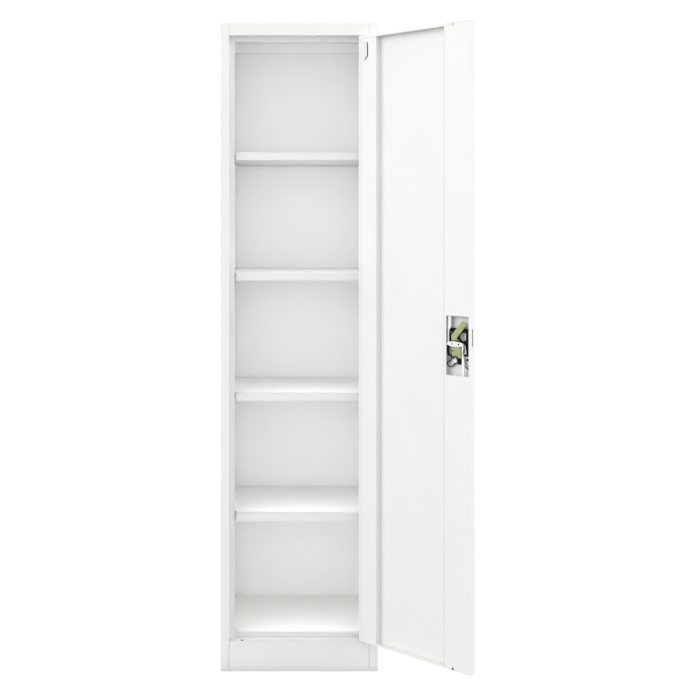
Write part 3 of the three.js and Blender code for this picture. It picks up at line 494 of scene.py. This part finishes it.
def make_lock_details():
    """Small parts of the lock that the window in the wide stile shows."""
    spring_depth = 8.95  # clear of the cam, also when the handle is turned
    route = [
        (-31.0, -30.2), (-25.0, -31.0), (-21.0, -34.8), (-18.9, -40.6), (-23.3, -45.6), (-29.6, -48.8),
        (-32.6, -53.2), (-30.6, -58.6), (-26.4, -61.6), (-20.8, -62.0), (-15.2, -59.2), (-10.6, -54.8),
        (-5.6, -53.0), (-2.6, -52.6),
    ]
    path = [(p, q, spring_depth) for p, q in route]
    wire = lock_piece("lock_spring_wire", lambda bm: add_wire(bm, path, 1.3), "door", "black_steel")
    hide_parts("lock_spring")

    def rocker_wire(bm):
        level = [
            (-9.3, 8.9), (-3.0, 10.2), (3.3, 10.3), (10.2, 8.9), (19.9, 8.6), (26.7, 7.0), (30.2, 3.6),
            (30.6, -2.4), (29.4, -12.0), (27.6, -21.0),
        ]
        add_wire(bm, [*[(p, q, 19.0) for p, q in level], (26.4, -24.6, 18.6)], 0.8)

    lock_piece("rocker_wire", rocker_wire, "handle", "black_steel")
    lock_piece("rocker_wire_tail", lambda bm: add_wire(bm, [
        (3.4, 8.4, 18.6), (10.2, 7.2, 18.8), (18.0, 6.3, 18.9), (24.4, 4.2, 18.9), (26.8, 1.2, 18.7),
    ], 0.7), "handle", "black_steel")

    def leaf(bm):
        add_plate(bm, [(25.2, -1.4), (27.4, -1.4), (30.4, -19.0), (31.2, -25.4), (22.8, -26.4), (22.6, -24.2),
                       (26.2, -20.0)], 8.6, 10.2)

    lock_piece("spring_leaf", leaf, "door", "zinc", bevel=0.35)

    def block_guide(bm):
        add_plate(bm, [
            (-26.0, -8.6), (-17.6, -8.6), (-17.6, -27.4), (-20.2, -28.6), (-24.6, -27.8), (-26.0, -26.2),
        ], 8.5, 9.9, [circle(-21.8, -13.4, 1.5)])

    lock_piece("block_guide", block_guide, "door", "zinc", bevel=0.3, material=MATERIALS["die_cast"])

    def wire_bracket(bm):
        add_plate(bm, [
            (-34.4, -30.2), (-28.6, -32.6), (-17.4, -37.4), (-15.6, -39.6), (-16.8, -46.6), (-10.8, -52.2),
            (-15.2, -60.4), (-19.6, -60.8), (-23.6, -51.6), (-29.0, -48.6), (-34.4, -48.2),
        ], 6.0, 7.6, [circle(-28.2, -40.2, 1.8)])
        add_plate(bm, [(-34.4, -33.0), (-32.8, -33.0), (-32.8, -46.0), (-34.4, -46.0)], 1.3, 6.2)

    lock_piece("wire_bracket", wire_bracket, "door", "zinc", bevel=0.35, material=MATERIALS["dull_zinc"])

    def rod_bracket(bm):
        add_plate(bm, [
            (19.3, -31.6), (42.5, -31.6), (42.5, -50.6), (38.4, -52.2), (21.2, -52.2), (19.3, -50.2),
        ], 6.8, 8.2, [circle(26.4, -46.2, 1.6)])
        add_plate(bm, [(19.3, -31.6), (20.7, -31.6), (20.7, -50.0), (19.3, -50.0)], 1.3, 7.0)
        add_plate(bm, [(41.1, -31.6), (42.5, -31.6), (42.5, -50.0), (41.1, -50.0)], 1.3, 7.0)

    lock_piece("rod_bracket", rod_bracket, "door", "zinc", bevel=0.35, material=MATERIALS["dull_zinc"])
    lock_piece("rod_bracket_bush", lambda bm: add_lathe(bm, [
        (0, 10.3), (1.2, 10.2), (2.2, 9.8), (3.3, 9.7), (3.6, 9.3), (3.6, 8.3), (0, 8.3),
    ], (34.4, -40.0)), "door", "black_steel")
    lock_piece("rod_wire", lambda bm: add_wire(bm, [
        (21.4, -54.6, 8.4), (24.4, -56.6, 8.4), (29.4, -59.8, 8.4), (34.8, -62.8, 8.4), (38.8, -65.2, 8.0),
        (41.2, -67.4, 6.4),
    ], 1.35), "door", "black_steel")

    def nub(bm):
        add_plate(bm, [
            (-15.2, -43.6), (-10.4, -41.6), (-5.6, -38.6), (-2.6, -39.4), (0.2, -43.0), (-0.6, -47.0),
            (-4.2, -49.4), (-9.0, -51.0), (-12.0, -49.6), (-13.0, -46.4),
        ], 8.3, 9.9)

    lock_piece("lock_nub", nub, "door", "nylon", bevel=0.3)
    lock_piece("nub_hook", lambda bm: add_wire(bm, [
        (-9.8, -38.2, 14.4), (-7.2, -34.2, 14.4), (-3.4, -32.4, 14.4), (1.0, -32.8, 14.4), (4.6, -35.8, 14.4),
        (6.6, -41.0, 14.2), (7.4, -46.6, 13.6), (7.4, -51.4, 12.4),
    ], 1.2), "door", "black_steel")
    # A light zinc strip on the flat side of the D barrel: painted highlight
    lock_piece("barrel_painted_highlight", lambda bm: add_plate(bm, [
        (27.0, 10.6), (29.7, 10.6), (29.7, 29.4), (27.0, 29.4),
    ], 9.6, 10.3), "door", "zinc", bevel=0.2, material=MATERIALS["dull_zinc"])
    for number, p in enumerate((-11.0, 11.0)):
        lock_piece(f"rocker_rivet_{number + 1}", lambda bm: add_lathe(bm, [
            (0, 16.0), (1.9, 16.0), (1.9, 17.3), (2.1, 17.5), (1.9, 17.9), (1.0, 18.2), (0, 18.2),
        ], (p, 0.0)), "handle", "black_steel")
    lock_piece("cam_notch_bar", lambda bm: add_plate(bm, [
        (-14.9, -20.2), (-7.4, -19.9), (-7.4, -18.5), (-14.9, -18.4),
    ], 12.2, 13.1), "handle", "black_steel", bevel=0.15)

    for number, (p, q) in enumerate(((37.0, 34.0), (-21.5, 30.5))):
        screw = lock_piece(
            f"housing_screw_head_{number + 1}", lambda bm: add_screw(bm, p, q, 8.5, 10.0), "door",
            "black_steel", bevel=0.2, material=MATERIALS["die_cast"] if number else None,
        )
        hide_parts(f"housing_screw_{number + 1}")

    def housing_rim(bm):
        right = 43.0
        top = 40.0
        left = -33.4
        corners = [
            (right, -29.4), (right, 0.0), (right, top - 2.0), (right - 2.0, top), (10.0, top),
            (-24.8, top), (left, 30.2), (left, 2.0), (left, -26.0),
        ]
        add_wire(bm, [(p, q, 8.2) for p, q in corners], 0.7, 8, 4)

    lock_piece("housing_rim", housing_rim, "door", "black_plastic")


LOCK_U = 0.343  # from the door's hinge edge to the lock's origin


def make_pin_slot_details():
    """Black strip along the edge of the spring-loaded pin's slot, above the pin's finger plate: painted shadow in
    the slot.
    """
    face = extent_in_lock("hinge_stile")[1].z
    offset = Vector((-LOCK_U / MM, -LOCK[2][3] / MM))

    def at(u, z):
        return (u + offset.x, z + offset.y)

    def slot_shadow(bm):
        add_plate(bm, [
            at(29.8, 1790.6), at(33.6, 1790.6), at(33.6, 1752.0), at(24.2, 1742.4), at(21.4, 1742.4),
            at(21.4, 1744.4), at(29.8, 1753.0),
        ], face - 1.1, face - 0.3)

    # Painted shadow along the slot's edge
    lock_piece("pin_slot_painted_shadow", slot_shadow, "door", "black_steel", bevel=0.2)


def extent_in_lock(name):
    """Least and greatest p, q and v of a node's mesh, in mm."""
    inverse = LOCK.inverted() @ NODES[name].matrix_world
    points = [inverse @ vertex.co / MM for vertex in NODES[name].data.vertices]
    return [Vector([pick(point[i] for point in points) for i in range(3)]) for pick in (min, max)]


def make_stile_details():
    """Painted shadow line along the wide stile's fold, its seam, and the plug of its upper service hole."""
    low, high = extent_in_lock("lock_stile")
    edge = extent_in_lock("door_skin")[1].x
    upright = (low.y + 0.8, high.y - 0.8)

    def strip(p0, p1, v0, v1):
        foot, head = upright
        return lambda bm: add_plate(bm, [(p0, foot), (p1, foot), (p1, head), (p0, head)], v0, v1)

    shaded = MATERIALS["painted_shadow_coat"]
    # A grey strip along the stile's inner fold: painted shadow
    line = strip(low.x + 0.1, low.x + 1.2, high.z - 0.6, high.z + 0.03)
    lock_piece("stile_painted_shadow_line", line, "door", "coat", material=shaded, smooth=False)
    bead = strip(edge - 1.9, edge - 0.45, high.z - 1.0, high.z + 0.03)
    lock_piece("stile_seam_bead", bead, "door", "coat", smooth=False)
    lock_piece("service_hole_plug", lambda bm: add_lathe(bm, [
        (0, high.z - 2.4), (3.25, high.z - 2.4), (3.25, high.z - 0.5), (2.9, high.z - 0.2), (0, high.z - 0.1),
    ], (337.0 - LOCK_U / MM, high.y - 4.2)), "door", "nylon", material=MATERIALS["dull_zinc"])


ROD_SOCKET = (-0.163, 0.0042)  # where the rods enter the body with the door shut
SOCKET_UNDER_LEDGE = 0.0838  # the ledge's sheet ends just above it
SOCKET_BELOW_TOP = 0.0308  # from the top panel's top down to the upper socket's rim


def make_rod_sockets():
    """Black cups behind the two holes that the rods enter."""
    profile = [(0, 28.0), (7.0, 28.0), (7.0, 0.0), (5.4, 0.0), (5.4, 26.5), (0, 26.5)]
    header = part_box("top_panel")[1].z - SOCKET_BELOW_TOP
    for name, z, side in (("rod_socket_bottom", SOCKET_UNDER_LEDGE, -1.0), ("rod_socket_top", header, 1.0)):
        bm = bmesh.new()
        add_lathe(bm, profile, (0.0, 0.0))
        place = Matrix((
            (1.0, 0.0, 0.0, ROD_SOCKET[0]),
            (0.0, side, 0.0, ROD_SOCKET[1]),
            (0.0, 0.0, side, z),
            (0.0, 0.0, 0.0, 1.0),
        ))
        add_piece(name, bm, "cabinet", "black_plastic", place, bevel=0.3)


# ---------------------------------------------------------------- stage and light


WORLD_BASE = 1.0
# Direction of the light, cosines at which it starts and is full, and its strength
WORLD_LOBES = (
    ((0.0, 1.0, 0.0), 0.55, 0.80, 0.3),
    ((-0.87, -0.45, 0.25), 0.80, 0.97, 1.75),
    ((0.85, -0.53, 0.15), 0.86, 0.98, 2.10),
)


def make_floor():
    bm = bmesh.new()
    bmesh.ops.create_grid(bm, x_segments=8, y_segments=8, size=30.0)
    mesh = bpy.data.meshes.new("floor")
    bm.to_mesh(mesh)
    bm.free()
    floor = bpy.data.objects.new("floor", mesh)
    floor.location.z = -0.0005
    SCENE.collection.objects.link(floor)
    nodes = Nodes("studio_floor")
    clouds = nodes.noise(0.6)
    tint = nodes.colours(clouds, (0.40, 0.40, 0.40), (0.41, 0.41, 0.41))
    nodes.link(tint, "Color", nodes.shader, "Base Color")
    nodes.shader.inputs["Roughness"].default_value = 0.9
    nodes.shader.inputs["Emission Color"].default_value = (1.0, 1.0, 1.0, 1.0)
    nodes.shader.inputs["Emission Strength"].default_value = 0.92
    mesh.materials.append(nodes.material)
    # The floor's own glow whitens the picture and lights nothing but the floor
    lit = bpy.data.collections.new("lit_by_floor")
    lit.objects.link(floor)
    floor.light_linking.receiver_collection = lit


def make_world():
    """White studio: even light all round, more from the back, and a soft light at each front side."""
    world = bpy.data.worlds.new("studio")
    world.use_nodes = True
    SCENE.world = world
    tree = world.node_tree
    background = tree.nodes["Background"]
    coordinates = tree.nodes.new("ShaderNodeTexCoord")

    def lobe(direction, start, end, strength):
        dot = tree.nodes.new("ShaderNodeVectorMath")
        dot.operation = "DOT_PRODUCT"
        dot.inputs[1].default_value = Vector(direction).normalized()
        tree.links.new(coordinates.outputs["Generated"], dot.inputs[0])
        spread = tree.nodes.new("ShaderNodeMapRange")
        spread.interpolation_type = "SMOOTHSTEP"
        spread.inputs["From Min"].default_value = start
        spread.inputs["From Max"].default_value = end
        spread.inputs["To Min"].default_value = 0.0
        spread.inputs["To Max"].default_value = strength
        tree.links.new(dot.outputs["Value"], spread.inputs["Value"])
        return spread.outputs["Result"]

    total = None
    for output in (lobe(*values) for values in WORLD_LOBES):
        add = tree.nodes.new("ShaderNodeMath")
        add.operation = "ADD"
        add.inputs[0].default_value = WORLD_BASE
        if total:
            tree.links.new(total, add.inputs[0])
        tree.links.new(output, add.inputs[1])
        total = add.outputs["Value"]
    tree.links.new(total, background.inputs["Strength"])
    background.inputs["Color"].default_value = (1.0, 1.0, 1.0, 1.0)


def area_light(name, location, direction, size, radiance, spread=180.0):
    """A soft panel that the camera doesn't see. It shines along the direction, with that radiance."""
    data = bpy.data.lights.new(name, "AREA")
    data.shape = "RECTANGLE"
    data.size, data.size_y = size
    data.energy = radiance * math.pi * size[0] * size[1]
    data.spread = math.radians(spread)
    light = bpy.data.objects.new(name, data)
    light.location = location
    light.rotation_euler = Vector(direction).to_track_quat("-Z", "Y").to_euler()
    light.visible_camera = False
    SCENE.collection.objects.link(light)
    return light


# Radiance of the fill in each compartment, from the floor up, set to match the photo's brightness
INSIDE_FILLS = (1.16, 1.18, 1.18, 1.08, 1.08)
FILL_Y = 0.032
SHELF_ROOM = 0.022  # left for the shelf over a compartment


def make_lights():
    area_light("lift", (0.0, -1.6, 0.2), (0.0, 1.6, 1.6), (1.2, 0.4), 0.17, 70.0)
    levels = [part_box(name)[1].z for name in ("base_panel", "shelf_1", "shelf_2", "shelf_3", "shelf_4")]
    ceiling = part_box("back_panel")[1].z
    for i, (low, radiance) in enumerate(zip(levels, INSIDE_FILLS)):
        high = levels[i + 1] - SHELF_ROOM if i + 1 < len(levels) else ceiling
        middle = (0.0, FILL_Y, (low + high) / 2.0)
        area_light(f"inside_fill_{i + 1}", middle, (0.0, 1.0, 0.0), (0.35, high - low - 0.02), radiance)
    area_light("shelf_fill", (0.0, 0.03, levels[3] + 0.012), (0.0, -0.15, 1.0), (0.34, 0.06), 2.2)
    place = (-0.03, -0.005, levels[4] + 0.08)
    header_fill = area_light("header_fill", place, (0.0, 0.0, 1.0), (0.26, 0.03), 2.6)
    # This light shines on the top panel only. Without that it draws a bar on the shut door
    lit = bpy.data.collections.new("lit_by_header_fill")
    lit.objects.link(NODES["top_panel"])
    header_fill.light_linking.receiver_collection = lit
    area_light("edge_fill", (2.0, -0.55, 0.95), (-1.56, 0.30, 0.0), (0.4, 3.0), 1.0)


# ---------------------------------------------------------------- make everything

make_camera()
dress_nodes()
make_lock_details()
make_pin_slot_details()
make_stile_details()
make_rod_sockets()
make_floor()
make_world()
make_lights()
SCENE.view_settings.view_transform = "Standard"
SCENE.view_settings.look = "None"

bpy.context.view_layer.update()
